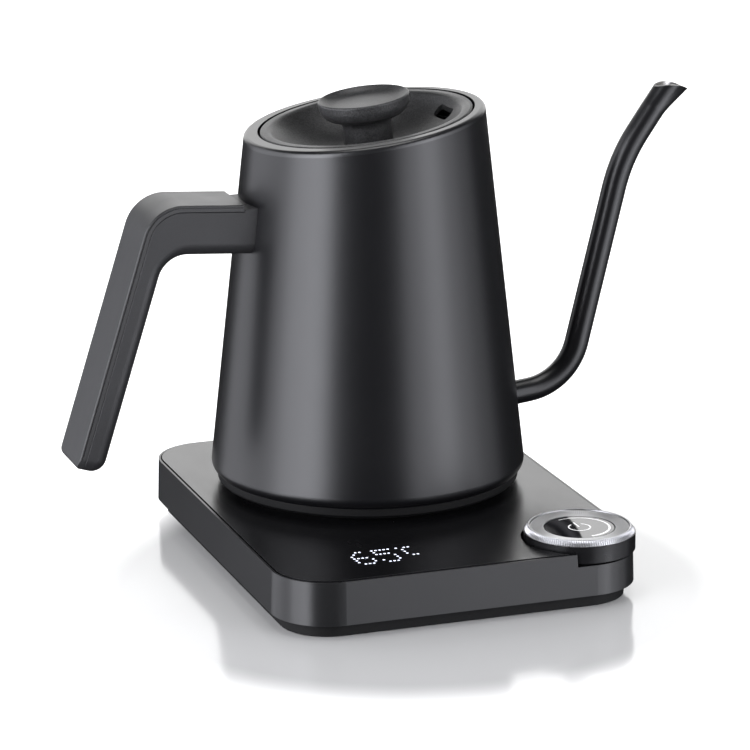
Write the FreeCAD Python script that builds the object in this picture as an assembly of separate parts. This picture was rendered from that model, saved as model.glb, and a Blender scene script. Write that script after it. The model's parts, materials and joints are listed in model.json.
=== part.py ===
import math
import os

import FreeCAD
import Part

# Electric gooseneck kettle on its base station, in millimetres, +Z up.
# Every shape is drawn about the kettle's own upright axis, with x towards the spout, -y towards
# the front of the base and z = 0 on the table.  place() then moves it to the part's origin, which
# is the middle of the whole object's footprint.

# ---- driving dimensions -------------------------------------------------------------------
FOOT_HEIGHT = 0.3            # rubber feet below the pan
BASE_HALF_WIDTH = 72.5       # kettle axis to the left, right and rear walls of the base
BASE_FRONT = 120.4           # kettle axis to the front wall
BASE_CORNER = 22.0           # plan radius of the base's corners
BASE_TOP = 22.5              # upper edge of the base's wall
WALL_BOTTOM = 5.5            # lower edge of the base's wall
WALL_FLARE = 0.5             # how much wider the wall is at its lower edge
WALL = 2.2                   # moulded wall of the base
RIM_WIDTH = 0.9              # wall showing round the top plate
PLATE_GAP = 0.5              # joint between the top plate and the wall
PLATE_RISE = 0.3             # top plate above the wall's upper edge
PLATE_THICK = 2.1
DECK_THICK = 1.8             # moulded deck under the top plate
PAN_INSET = 3.3              # bottom pan set back from the wall
PAN_FLOOR = 2.7

DIAL_X = 51.5
DIAL_Y = -99.7
DIAL_RADIUS = 21.6           # black skirt of the dial
DIAL_BOTTOM = 18.2
DIAL_RING_BASE = 25.2        # metal ring sits on the skirt here
DIAL_CREST = 27.4
SEAT_RADIUS = 22.7           # clearance round the dial
SEAT_FLOOR = 17.5
BUTTON_RADIUS = 13.6
BUTTON_TOP = 26.3
BUTTON_TRAVEL = 0.8

TOWER_RADIUS = 16.5          # cordless connector on the base
TOWER_TOP = 31.0
GLAND_X = 40.0
GLAND_Z = 13.0
CORD_RADIUS = 3.4            # hole for the supply cord

BODY_RADIUS = 63.5           # cone of the kettle body at CONE_FOOT
CONE_FOOT = 28.3
CONE_SLOPE = 0.111           # radius lost per millimetre of height
SHELL = 1.0                  # sheet of the body
SHELL_FOOT = 28.7
SHELL_FOOT_RADIUS = 61.0
SHELL_ROUND_TOP = 33.0       # the rounded lower edge runs into the cone here
RIM_HEIGHT = 171.2           # rim plane on the kettle axis
RIM_TILT = 7.44              # degrees, high towards the spout
BORE_RADIUS = 43.25          # opening that takes the lid
RIM_THICK = 2.2
RIM_ROUND = 1.8              # outer edge of the rim

COLLAR_RADIUS = 60.6
COLLAR_BOTTOM = 24.7
VESSEL_FLOOR = 38.5          # inside floor of the vessel

LID_RADIUS = 42.4
KNOB_RADIUS = 18.15
KNOB_HEIGHT = 8.8            # above the rim plane
STEM_RADIUS = 9.7
DISH_DEPTH = 13.0

HANDLE_HALF_WIDTH = 13.6
HANDLE_THICK = 11.7          # grip, square to its length
COVER_THICK = 2.6
ARM_RISE = 4.0               # degrees
GRIP_LEAN = 17.7             # degrees from upright
HANDLE_END_X = -124.0
SPOUT_RADIUS = 4.9
SPOUT_WALL = 0.8
SPOUT_TIP_X = 138.0

# ---- worked out from them -----------------------------------------------------------------
PAN_BOTTOM = FOOT_HEIGHT
PAN_TOP = PAN_BOTTOM + PAN_FLOOR
PLATE_TOP = BASE_TOP + PLATE_RISE
DECK_TOP = PLATE_TOP - PLATE_THICK
DECK_BOTTOM = DECK_TOP - DECK_THICK
GLAND_END = BASE_HALF_WIDTH + 1.5
CLAMP_TOP = GLAND_Z + CORD_RADIUS + 1.0
AXIS_X = -(SPOUT_TIP_X + HANDLE_END_X) / 2
AXIS_Y = (DIAL_RADIUS - DIAL_Y - GLAND_END) / 2


def vec(x, y, z):
    return FreeCAD.Vector(x, y, z)


# ---- shared shapes ------------------------------------------------------------------------
def cylinder(radius, low, high, x=0.0, y=0.0):
    return Part.makeCylinder(radius, high - low, vec(x, y, low))


def ring(outer, inner, low, high, x=0.0, y=0.0):
    return cylinder(outer, low, high, x, y).cut(cylinder(inner, low - 1, high + 1, x, y))


def block(x_range, y_range, z_range):
    size = [high - low for low, high in (x_range, y_range, z_range)]
    return Part.makeBox(*size, vec(x_range[0], y_range[0], z_range[0]))


def join(first, *others):
    return first.fuse(list(others)).removeSplitter()


def upright(point):
    """Point of the plane y = 0."""
    return vec(point[0], 0.0, point[1])


def outline(start, *steps):
    """Closed wire in the plane y = 0.  A step is an end point, or (middle, end) for an arc."""
    edges = []
    here = start
    for step in steps + (start,):
        curved = isinstance(step[0], tuple)
        end = step[1] if curved else step
        if curved:
            edges.append(Part.Arc(upright(here), upright(step[0]), upright(end)).toShape())
        elif end != here:
            edges.append(Part.LineSegment(upright(here), upright(end)).toShape())
        here = end
    return Part.Wire(edges)


def turned(wire, x=0.0, y=0.0):
    """Solid of revolution of a wire in the plane y = 0 about an upright line."""
    solid = Part.Face(wire).revolve(vec(0, 0, 0), vec(0, 0, 1), 360)
    solid.translate(vec(x, y, 0))
    return solid


def rounded_edges(points, radii, closed):
    """Lines through the points, with an arc of the given radius at each corner."""
    count = len(points)
    edges = []
    stops = []
    for i, point in enumerate(points):
        if radii[i] == 0 or (not closed and i in (0, count - 1)):
            stops.append((point, None, point))
            continue
        back = (points[i - 1] - point).normalize()
        ahead = (points[(i + 1) % count] - point).normalize()
        half = back.getAngle(ahead) / 2
        middle = (back + ahead).normalize()
        reach = radii[i] / math.tan(half)
        centre = point + middle * (radii[i] / math.sin(half))
        stops.append((point + back * reach, centre - middle * radii[i], point + ahead * reach))
    for i, (start, bend, end) in enumerate(stops):
        if bend is not None:
            edges.append(Part.Arc(start, bend, end).toShape())
        following = stops[(i + 1) % count][0]
        if (i < count - 1 or closed) and not end.isEqual(following, 1e-6):
            edges.append(Part.LineSegment(end, following).toShape())
    return Part.Wire(edges)


def side_profile(points, radii, half_width):
    """Slab of the given half width whose side view is the rounded polygon."""
    corners = [vec(x, -half_width, z) for x, z in points]
    face = Part.Face(rounded_edges(corners, radii, True))
    return face.extrude(vec(0, 2 * half_width, 0))


def edges_along(solid, points, radii):
    """Edges of a slab in its two side faces that follow a line of its side view."""
    guide = rounded_edges([upright(point) for point in points], radii, False)
    picked = []
    for edge in solid.Edges:
        middle = edge.valueAt((edge.FirstParameter + edge.LastParameter) / 2)
        off_line = guide.distToShape(Part.Vertex(middle.x, 0, middle.z))[0]
        if edge.BoundBox.YLength < 0.01 and off_line < 0.01:
            picked.append(edge)
    return picked


def base_wire(inset, height):
    """Plan outline of the base, moved in by inset."""
    left = -BASE_HALF_WIDTH + inset
    rear = BASE_HALF_WIDTH - inset
    front = -BASE_FRONT + inset
    corners = [vec(left, front, height), vec(-left, front, height),
               vec(-left, rear, height), vec(left, rear, height)]
    return rounded_edges(corners, [BASE_CORNER - inset] * 4, True)


def base_slab(inset, low, high):
    return Part.Face(base_wire(inset, low)).extrude(vec(0, 0, high - low))


def tube_along(path, radius):
    """Round bar of the given radius along a wire."""
    start = path.Edges[0].valueAt(path.Edges[0].FirstParameter)
    direction = path.Edges[0].tangentAt(path.Edges[0].FirstParameter)
    section = Part.Wire(Part.makeCircle(radius, start, direction))
    return path.makePipeShell([section], True, False)


def screw(x, y, head_low, tip, head_radius=2.6, shank_radius=1.5, head_height=1.8):
    """Pan-head screw driven upwards, with a cross recess in its head."""
    head = cylinder(head_radius, head_low, head_low + head_height, x, y)
    shank = cylinder(shank_radius, head_low + head_height, tip, x, y)
    depth = head_height * 0.55
    arm = head_radius * 0.6
    slots = [block((x - arm, x + arm), (y - 0.35, y + 0.35), (head_low - 1, head_low + depth)),
             block((x - 0.35, x + 0.35), (y - arm, y + arm), (head_low - 1, head_low + depth))]
    return join(head, shank).cut(slots)


def around(radius, angles):
    """Places on a circle about the kettle axis."""
    turns = [math.radians(angle) for angle in angles]
    return [(radius * math.cos(turn), radius * math.sin(turn)) for turn in turns]


def cone_radius(height):
    return BODY_RADIUS - CONE_SLOPE * (height - CONE_FOOT)


def on_rim(shape):
    """Carry a shape from the lid's own frame, origin on the rim plane, to the kettle."""
    shape.rotate(vec(0, 0, 0), vec(0, 1, 0), -RIM_TILT)
    shape.translate(vec(0, 0, RIM_HEIGHT))
    return shape


def place(shape):
    shape.translate(vec(AXIS_X, AXIS_Y, 0))
    return shape


# ---- base station -------------------------------------------------------------------------
BOSS_RADIUS = 4.0
PAN_SCREWS = [(x, y) for x in (-58.0, 58.0) for y in (-62.0, 58.0)]
FEET = [(x, y) for x in (-52.0, 52.0) for y in (-98.0, 50.0)]
DISPLAY_X = (-42.0, -11.0)
DISPLAY_Y = (-107.5, -88.5)
CONTROL_X = (-62.0, 2.0)
CONTROL_Y = (-114.0, -78.0)
CONTROL_LOW = 13.0
BOARD_THICK = 1.6
CONTROL_SCREWS = [(x, -82.0) for x in (-57.0, -3.0)]
ENCODER_LOW = 9.3
ENCODER_SCREWS = [(DIAL_X + dx, DIAL_Y + dy) for dx, dy in around(14.5, (75, 165, 285))]
POWER_X = (-50.0, 10.0)
POWER_Y = (28.0, 64.0)
POWER_LOW = 6.6
POWER_POSTS = [(x, y) for x in (-46.5, 6.5) for y in (31.5, 60.5)]
CONNECTOR_FLANGE = 24.0
FLANGE_THICK = 2.0
HUB_RADIUS = 7.5
POST_RADIUS = 6.0
STEM_BORE = 4.6
SWITCH_HEIGHT = 2.9


def base_housing():
    flared = Part.makeLoft([base_wire(-WALL_FLARE, WALL_BOTTOM), base_wire(0.0, BASE_TOP)], True, True)
    seat_low = SEAT_FLOOR - DECK_THICK
    cavity = base_slab(WALL, WALL_BOTTOM - 1, DECK_BOTTOM)
    pocket = base_slab(RIM_WIDTH, DECK_TOP, BASE_TOP + 1)
    shell = flared.cut([cavity, pocket])
    cup = cylinder(SEAT_RADIUS + WALL, seat_low, DECK_TOP, DIAL_X, DIAL_Y)
    bosses = [cylinder(BOSS_RADIUS, PAN_TOP + 3.2, DECK_BOTTOM + 0.5, x, y) for x, y in PAN_SCREWS]
    bosses += [cylinder(2.6, CONTROL_LOW + BOARD_THICK, DECK_BOTTOM + 0.5, x, y)
               for x, y in CONTROL_SCREWS]
    bosses += [cylinder(2.6, ENCODER_LOW + BOARD_THICK, seat_low + 0.5, x, y)
               for x, y in ENCODER_SCREWS]
    solid = join(shell, cup.common(base_slab(0.5, 0, BASE_TOP)), *bosses)
    holes = [cylinder(SEAT_RADIUS, SEAT_FLOOR, BASE_TOP + 1, DIAL_X, DIAL_Y),
             cylinder(HUB_RADIUS + 0.4, seat_low - 1, SEAT_FLOOR + 1, DIAL_X, DIAL_Y),
             cylinder(TOWER_RADIUS + 0.3, DECK_BOTTOM - 1, DECK_TOP + 1),
             block(DISPLAY_X, DISPLAY_Y, (DECK_BOTTOM - 1, DECK_TOP + 1)),
             Part.makeCylinder(5.0, 12, vec(GLAND_X, BASE_HALF_WIDTH - 8, GLAND_Z), vec(0, 1, 0))]
    holes += [cylinder(1.6, PAN_TOP, 15.5, x, y) for x, y in PAN_SCREWS]
    holes += [cylinder(1.3, CONTROL_LOW, DECK_BOTTOM, x, y) for x, y in CONTROL_SCREWS]
    holes += [cylinder(1.3, ENCODER_LOW, seat_low, x, y) for x, y in ENCODER_SCREWS]
    return solid.cut(holes)


def top_plate():
    plate = base_slab(RIM_WIDTH + PLATE_GAP, DECK_TOP, PLATE_TOP)
    holes = [cylinder(SEAT_RADIUS, DECK_TOP - 1, PLATE_TOP + 1, DIAL_X, DIAL_Y),
             cylinder(TOWER_RADIUS + 0.7, DECK_TOP - 1, PLATE_TOP + 1)]
    return plate.cut(holes)


def bottom_pan():
    """Tray with a flange that fits inside the housing's wall."""
    wall_top = WALL_BOTTOM + 1.5
    tray = base_slab(PAN_INSET, PAN_BOTTOM, wall_top)
    flange = base_slab(WALL + 0.15, WALL_BOTTOM + 0.1, wall_top)
    inside = base_slab(PAN_INSET + 2.0, PAN_TOP, wall_top + 1)
    bosses = [cylinder(5.2, PAN_TOP - 0.5, PAN_TOP + 3.2, x, y) for x, y in PAN_SCREWS]
    posts = [cylinder(2.4, PAN_TOP - 0.5, POWER_LOW, x, y) for x, y in POWER_POSTS]
    saddle = block((GLAND_X - 10, GLAND_X + 10), (50, 56), (PAN_TOP - 0.5, GLAND_Z - CORD_RADIUS))
    tray = join(tray.fuse(flange).cut(inside), saddle, *bosses, *posts)
    holes = [cylinder(3.0, PAN_BOTTOM - 1, PAN_BOTTOM + 2.6, x, y) for x, y in PAN_SCREWS]
    holes += [cylinder(1.8, PAN_BOTTOM, 8, x, y) for x, y in PAN_SCREWS]
    holes += [cylinder(6.1, PAN_BOTTOM - 1, PAN_BOTTOM + 0.6, x, y) for x, y in FEET]
    holes += [cylinder(1.2, PAN_TOP, POWER_LOW + 1, x, y) for x, y in POWER_POSTS]
    holes += [cylinder(1.3, PAN_TOP, GLAND_Z, x, 53) for x in (GLAND_X - 7, GLAND_X + 7)]
    return tray.cut(holes)


def rubber_feet():
    """Four discs with a rounded lower edge, glued in the pan's recesses."""
    feet = []
    for x, y in FEET:
        disc = cylinder(6.0, 0.0, PAN_BOTTOM + 0.6, x, y)
        low_edges = [edge for edge in disc.Edges if edge.BoundBox.ZMax < 0.01]
        feet.append(disc.makeFillet(0.5, low_edges))
    return Part.makeCompound(feet)


def pan_screws():
    return Part.makeCompound([screw(x, y, PAN_BOTTOM + 0.7, 14.5) for x, y in PAN_SCREWS])


def board(x_range, y_range, low, fixings, hole):
    """Circuit board with a clearance hole at each fixing."""
    plate = block(x_range, y_range, (low, low + BOARD_THICK))
    return plate.cut([cylinder(hole, low - 1, low + 3, x, y) for x, y in fixings])


def control_board():
    return board(CONTROL_X, CONTROL_Y, CONTROL_LOW, CONTROL_SCREWS, 1.4)


def control_screws():
    """Two for the control board and three for the dial's board."""
    screws = [screw(x, y, CONTROL_LOW - 1.4, 18.0, 2.2, 1.2, 1.4) for x, y in CONTROL_SCREWS]
    screws += [screw(x, y, ENCODER_LOW - 1.4, 15.2, 2.2, 1.2, 1.4) for x, y in ENCODER_SCREWS]
    return Part.makeCompound(screws)


def display_module():
    """Light-guide block of the dot display, just under the top plate."""
    low = CONTROL_LOW + BOARD_THICK
    return block([DISPLAY_X[0] + 0.3, DISPLAY_X[1] - 0.3], [DISPLAY_Y[0] + 0.3, DISPLAY_Y[1] - 0.3],
                 (low, DECK_TOP - 0.1))


def power_board():
    return board(POWER_X, POWER_Y, POWER_LOW, POWER_POSTS, 1.3)


def power_board_screws():
    """Driven down through the board into the pan's posts."""
    screws = []
    for x, y in POWER_POSTS:
        part = screw(x, y, 0.0, 5.4, 2.2, 1.1, 1.4)
        part.rotate(vec(x, y, 0), vec(1, 0, 0), 180)
        part.translate(vec(0, 0, POWER_LOW + BOARD_THICK + 1.4))
        screws.append(part)
    return Part.makeCompound(screws)


def on_power_board(x_range, y_range, height, edge_round):
    """Component standing on the power board, with rounded upright edges."""
    low = POWER_LOW + BOARD_THICK
    body = block(x_range, y_range, (low, low + height))
    uprights = [edge for edge in body.Edges if edge.BoundBox.ZLength > height - 0.01]
    return body.makeFillet(edge_round, uprights)


def power_relay():
    return on_power_board((-42, -22), (38, 54), 9.8, 1.0)


def power_supply():
    """Small transformer: a core with a fatter winding through it."""
    core = on_power_board((-18, -2), (40, 58), 9.0, 0.8)
    winding = on_power_board((-16, -4), (37.5, 60.5), 8.0, 2.5)
    return join(core, winding)


def terminal_block():
    """Three-way screw terminal beside the cord clamp."""
    body = block((18, 34), (30, 42), (PAN_TOP, 14.5))
    wells = [cylinder(1.9, 8.0, 16.0, x, 36) for x in (20.8, 26.0, 31.2)]
    return body.cut(wells)


def cord_gland():
    """Bush in the rear wall, with a flange each side of it."""
    def along_y(radius, start, end):
        return Part.makeCylinder(radius, end - start, vec(GLAND_X, start, GLAND_Z), vec(0, 1, 0))
    inner_face = BASE_HALF_WIDTH - WALL
    outer_face = BASE_HALF_WIDTH + WALL_FLARE
    body = join(along_y(4.9, inner_face - 6, GLAND_END), along_y(5.8, inner_face - 2.2, inner_face - 0.1),
                along_y(6.4, outer_face, GLAND_END))
    return body.cut(along_y(CORD_RADIUS, inner_face - 8, GLAND_END + 1))


def cord_clamp():
    """Bridge over the cord's path, arched to the cord."""
    low = GLAND_Z - CORD_RADIUS
    bridge = block((GLAND_X - 10, GLAND_X + 10), (50, 56), (low + 0.1, CLAMP_TOP))
    arch = Part.makeCylinder(CORD_RADIUS, 20, vec(GLAND_X, 45, GLAND_Z), vec(0, 1, 0))
    channel = block((GLAND_X - CORD_RADIUS, GLAND_X + CORD_RADIUS), (45, 60), (low - 1, GLAND_Z))
    holes = [cylinder(1.5, 0, 20, x, 53) for x in (GLAND_X - 7, GLAND_X + 7)]
    return bridge.cut([arch, channel] + holes)


def clamp_screws():
    head = 1.2
    screws = []
    for x in (GLAND_X - 7, GLAND_X + 7):
        part = screw(x, 53, 0.0, 12.0, 2.4, 1.2, head)
        part.rotate(vec(x, 53, 0), vec(1, 0, 0), 180)
        part.translate(vec(0, 0, CLAMP_TOP + head))
        screws.append(part)
    return Part.makeCompound(screws)


def connector_wires():
    """Two insulated wires from the terminal block to the underside of the connector."""
    wires = []
    for x, far_x in ((20.8, 6.0), (26.0, 11.0)):
        route = [vec(x, 29.6, 10.5), vec(x, 20.0, 10.5), vec(far_x, 12.0, 10.5), vec(far_x, 12.0, 15.4)]
        wires.append(tube_along(rounded_edges(route, [0, 4.0, 2.6, 0], False), 1.1))
    return Part.makeCompound(wires)


# ---- cordless connector -------------------------------------------------------------------
GROOVE = (8.2, 10.0)
PIN_HOLE = 2.4
CONTACT_LOW = 20.0


def base_connector():
    """Tower with a pin hole and a ring groove, on a flange under the deck."""
    flange_low = DECK_BOTTOM - FLANGE_THICK
    flange = cylinder(CONNECTOR_FLANGE, flange_low, DECK_BOTTOM)
    tower = cylinder(TOWER_RADIUS, flange_low, TOWER_TOP)
    crown = [edge for edge in tower.Edges if edge.BoundBox.ZMin > TOWER_TOP - 0.01]
    tower = tower.makeFillet(1.2, crown)
    body = join(flange, tower)
    return body.cut([ring(GROOVE[1], GROOVE[0], CONTACT_LOW, TOWER_TOP + 1),
                     cylinder(PIN_HOLE, CONTACT_LOW, TOWER_TOP + 1)])


def base_contacts():
    """Live ring and centre stud at the bottom of the tower's groove and hole."""
    live = ring(GROOVE[1] - 0.1, GROOVE[0] + 0.1, CONTACT_LOW, CONTACT_LOW + 3)
    centre = cylinder(PIN_HOLE - 0.1, CONTACT_LOW, CONTACT_LOW + 2)
    return Part.makeCompound([live, centre])


def locating_ring():
    """Loose ring on the tower that centres the kettle and turns with it."""
    body = ring(TOWER_RADIUS + 1.9, TOWER_RADIUS + 0.05, PLATE_TOP + 0.05, 28.0)
    crown = [edge for edge in body.Edges if edge.BoundBox.ZMin > 27.99]
    return body.makeChamfer(0.4, crown)


# ---- dial and power button ----------------------------------------------------------------
def at_dial(wire):
    return turned(wire, DIAL_X, DIAL_Y)


def dial_ring():
    """Metal ring: bevelled edge, crest, and a face that dishes towards the button."""
    inner = BUTTON_RADIUS + 0.3
    return at_dial(outline((inner, 23.2), (inner, 26.45), (18.6, 27.0), (19.5, DIAL_CREST),
                           (20.0, DIAL_CREST), (21.3, DIAL_RING_BASE), (15.6, DIAL_RING_BASE),
                           (15.6, 23.2)))


def dial_skirt():
    """Black drum under the ring, with the hub that turns on the post."""
    bore = POST_RADIUS + 0.06
    low = 14.8
    return at_dial(outline((bore, low), (HUB_RADIUS, low), (HUB_RADIUS, DIAL_BOTTOM),
                           (DIAL_RADIUS - 0.4, DIAL_BOTTOM), (DIAL_RADIUS, DIAL_BOTTOM + 0.4),
                           (DIAL_RADIUS, DIAL_RING_BASE - 0.05), (15.8, DIAL_RING_BASE - 0.05),
                           (15.8, 20.2), (bore, 20.2)))


def encoder_disc():
    """Pulse disc on the end of the hub, under the seat, which also keeps the dial on."""
    disc = ring(11.0, POST_RADIUS + 0.4, 13.7, 14.7, DIAL_X, DIAL_Y)
    slots = [cylinder(0.8, 13, 15, DIAL_X + dx, DIAL_Y + dy)
             for dx, dy in around(9.6, range(0, 360, 20))]
    return disc.cut(slots)


def encoder_board():
    half = 17.0
    x_range = (DIAL_X - half, DIAL_X + half)
    y_range = (DIAL_Y - half + 2, DIAL_Y + half)
    plate = board(x_range, y_range, ENCODER_LOW, ENCODER_SCREWS, 1.4)
    return plate.common(base_slab(WALL + 0.3, 0, BASE_TOP))


def dial_post():
    """Fixed tube that the dial turns on and the button slides in."""
    foot = ENCODER_LOW + BOARD_THICK
    top = BUTTON_TOP - 3.6
    return at_dial(outline((STEM_BORE, foot), (10.0, foot), (10.0, foot + 1.6), (POST_RADIUS, foot + 1.6),
                           (POST_RADIUS, top), (STEM_BORE, top)))


def button_glass():
    """Dark glass of the power button, level with the bottom of the ring's dish."""
    disc = cylinder(BUTTON_RADIUS, BUTTON_TOP - 1.2, BUTTON_TOP, DIAL_X, DIAL_Y)
    top_edges = [edge for edge in disc.Edges if edge.BoundBox.ZMin > BUTTON_TOP - 0.01]
    return disc.makeChamfer(0.2, top_edges)


def button_stem():
    """Carrier under the glass, with the stem that slides in the post."""
    top = BUTTON_TOP - 1.2
    nose = ENCODER_LOW + BOARD_THICK + SWITCH_HEIGHT + BUTTON_TRAVEL + 0.05
    return at_dial(outline((0, nose), (1.6, nose), (1.6, 17.1), (STEM_BORE - 0.08, 17.1),
                           (STEM_BORE - 0.08, top - 1.2), (BUTTON_RADIUS - 0.8, top - 1.2),
                           (BUTTON_RADIUS - 0.8, top), (0, top)))


def button_spring():
    """Compression spring between the board and the stem's shoulder."""
    wire_radius = 0.35
    low = ENCODER_LOW + BOARD_THICK + wire_radius
    high = 17.1 - wire_radius
    turns = 4.5
    helix = Part.makeHelix((high - low) / turns, high - low, 3.85)
    start = vec(3.85, 0, 0)
    section = Part.Wire(Part.makeCircle(wire_radius, start, vec(0, 1, 0)))
    coil = Part.Wire(helix).makePipeShell([section], True, True)
    coil.translate(vec(DIAL_X, DIAL_Y, low))
    return coil


def button_switch():
    low = ENCODER_LOW + BOARD_THICK
    can = block((DIAL_X - 2.2, DIAL_X + 2.2), (DIAL_Y - 2.2, DIAL_Y + 2.2), (low, low + 2.2))
    return join(can, cylinder(1.1, low + 2.0, low + SWITCH_HEIGHT, DIAL_X, DIAL_Y))


# ---- kettle body --------------------------------------------------------------------------
MOUTH_ARCH = 15.86
MOUTH_CENTRE = (128.8, 160.2)
PROBE_PLACE = (0.0, 28.0)
SPREADER_LOW = 35.0
COLLAR_SCREWS = around(28.0, (30, 150, 270))
EARS = (-24.8, 24.8)
SOCKET_RADIUS = TOWER_RADIUS + 2.4
SOCKET_WALL = 2.2


def body_solid(offset, high=200.0):
    """Full solid of the kettle's cone, moved out by offset."""
    return turned(outline((0, SHELL_FOOT), (SHELL_FOOT_RADIUS + offset, SHELL_FOOT),
                          ((SHELL_FOOT_RADIUS + 1.53 + offset, SHELL_FOOT + 1.75),
                           (cone_radius(SHELL_ROUND_TOP) + offset, SHELL_ROUND_TOP)),
                          (cone_radius(high) + offset, high), (0, high)))


def below_rim(shape, drop):
    """What lies under the rim plane, moved down by drop."""
    return shape.common(on_rim(cylinder(90, -250, -drop)))


def spout_path():
    """Centre line: square to the body, up in one bend, then leaning out to the mouth."""
    root = vec(57.0, 0, 51.6)
    knee = vec(86.55, 0, 54.85)
    neck = vec(109.33, 0, 146.8)
    end = vec(123.0, 0, 166.3)
    return rounded_edges([root, knee, neck, end], [0, 24.0, 66.0, 0], False)


def spout_flare(inset):
    """End outline of the tip: round behind and drawn out to a pouring lip in front."""
    back = 7.8 - inset
    side = SPOUT_RADIUS - inset
    lip = 7.8 - 1.6 * inset
    points = [(-back, 0), (-back * 0.72, -side * 0.78), (-0.6, -side), (3.6, -side * 0.68), (lip, 0),
              (3.6, side * 0.68), (-0.6, side), (-back * 0.72, side * 0.78)]
    curve = Part.BSplineCurve()
    curve.interpolate([vec(x, y, 0) for x, y in points], PeriodicFlag=True)
    wire = Part.Wire(curve.toShape())
    wire.rotate(vec(0, 0, 0), vec(0, 1, 0), 7.4)
    wire.translate(vec(132.75, 0, 176.3))
    return wire


def spout_bar(inset):
    """Solid bar of the spout, to a little beyond its mouth."""
    path = spout_path()
    last = path.Edges[-1]
    end = last.valueAt(last.LastParameter)
    direction = last.tangentAt(last.LastParameter)
    root_bar = tube_along(path, SPOUT_RADIUS - inset)
    circle = Part.Wire(Part.makeCircle(SPOUT_RADIUS - inset, end, direction))
    tip = Part.makeLoft([circle, spout_flare(inset)], True, False)
    return root_bar.fuse(tip)


def spout_tube():
    """Tube with its mouth trimmed to an arch that falls to the lip."""
    arch = Part.makeCylinder(MOUTH_ARCH, 20, vec(MOUTH_CENTRE[0], -10, MOUTH_CENTRE[1]), vec(0, 1, 0))
    beyond = block((110, 150), (-10, 10), (168, 190)).cut(arch)
    return spout_bar(0.0).cut([spout_bar(SPOUT_WALL), beyond, body_solid(-SHELL)])


def body_shell():
    sheet = body_solid(0.0).cut(body_solid(-SHELL).fuse(cylinder(SHELL_FOOT_RADIUS - SHELL, 20, 30)))
    sheet = below_rim(sheet, RIM_THICK)
    spout_hole = spout_bar(0.0)
    return sheet.cut(spout_hole)


def rim_ring():
    """Sloping rim with the bore and the ledge that carry the lid."""
    flange = body_solid(0.0).common(on_rim(ring(90, BORE_RADIUS, -RIM_THICK, 0)))
    upper_face = max(flange.Faces, key=lambda face: face.CenterOfMass.z)
    outer_edge = max(upper_face.Edges, key=lambda edge: edge.Length)
    flange = flange.makeFillet(RIM_ROUND, [outer_edge])
    bore = on_rim(ring(BORE_RADIUS + 1.0, BORE_RADIUS, -14.5, -0.5))
    ledge = on_rim(ring(BORE_RADIUS + 1.0, 41.0, -14.5, -13.3))
    return join(flange, bore, ledge)


def vessel_floor():
    """Pressed floor with a turned-down edge against the shell."""
    def edge(height):
        return cone_radius(height) - SHELL - 0.05
    low = 33.2
    return turned(outline((0, VESSEL_FLOOR - 1), (edge(low) - 1.2, VESSEL_FLOOR - 1), (edge(low) - 1.2, low),
                          (edge(low), low), (edge(VESSEL_FLOOR), VESSEL_FLOOR), (0, VESSEL_FLOOR))
                  ).cut(cylinder(2.6, 30, 45, *PROBE_PLACE))


def heat_spreader():
    """Aluminium disc bonded under the floor."""
    holes = [cylinder(1.6, 30, 40, x, y) for x, y in COLLAR_SCREWS]
    holes += [cylinder(1.3, 30, 40, x, 0) for x in EARS]
    holes.append(cylinder(2.6, 30, 40, *PROBE_PLACE))
    return cylinder(50.0, SPREADER_LOW, VESSEL_FLOOR - 1).cut(holes)


def heating_element():
    """Sheathed ring under the spreader, open at one side, with its two cold ends turned down."""
    major = 38.5
    minor = 3.0
    height = SPREADER_LOW - minor - 0.05
    gap = 24.0
    coil = Part.makeTorus(major, minor, vec(0, 0, height), vec(0, 0, 1), -180, 180, 360 - 2 * gap)
    coil.rotate(vec(0, 0, 0), vec(0, 0, 1), gap)
    ends = [cylinder(1.2, height - 4.6, height, x, y) for x, y in around(major, (gap + 3, -gap - 3))]
    return join(coil, *ends)


def temperature_probe():
    """Stainless finger through the floor, with its flange inside the vessel."""
    x, y = PROBE_PLACE
    finger = cylinder(2.5, 31.0, 44.0, x, y)
    tip = [edge for edge in finger.Edges if edge.BoundBox.ZMin > 43.99]
    return join(finger.makeFillet(1.5, tip), cylinder(4.5, VESSEL_FLOOR, VESSEL_FLOOR + 1.2, x, y))


def probe_nut():
    x, y = PROBE_PLACE
    corners = [vec(x + dx, y + dy, 32.4) for dx, dy in around(4.6, range(0, 360, 60))]
    hexagon = Part.Face(Part.makePolygon(corners + corners[:1])).extrude(vec(0, 0, 2.5))
    return hexagon.cut(cylinder(2.55, 30, 40, x, y))


def kettle_connector():
    """Socket that drops over the tower, with two ears screwed to the spreader."""
    ceiling = 32.0
    top = SPREADER_LOW - 0.1
    cup = cylinder(SOCKET_RADIUS + SOCKET_WALL, COLLAR_BOTTOM, top)
    cup = cup.cut(cylinder(SOCKET_RADIUS, COLLAR_BOTTOM - 1, ceiling))
    ears = block((EARS[0] - 3.4, EARS[1] + 3.4), (-3.4, 3.4), (33.0, top))
    holes = [cylinder(1.3, 30, 40, x, 0) for x in EARS]
    return join(cup, ears).cut(holes)


def connector_screws():
    return Part.makeCompound([screw(x, 0, 31.4, 37.2, 2.2, 1.2, 1.5) for x in EARS])


def kettle_contacts():
    """Centre pin and ring blade that enter the tower."""
    pin = cylinder(1.9, 25.0, 31.95)
    blade = ring(GROOVE[1] - 0.4, GROOVE[0] + 0.4, 26.0, 31.95)
    return Part.makeCompound([pin, blade])


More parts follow.
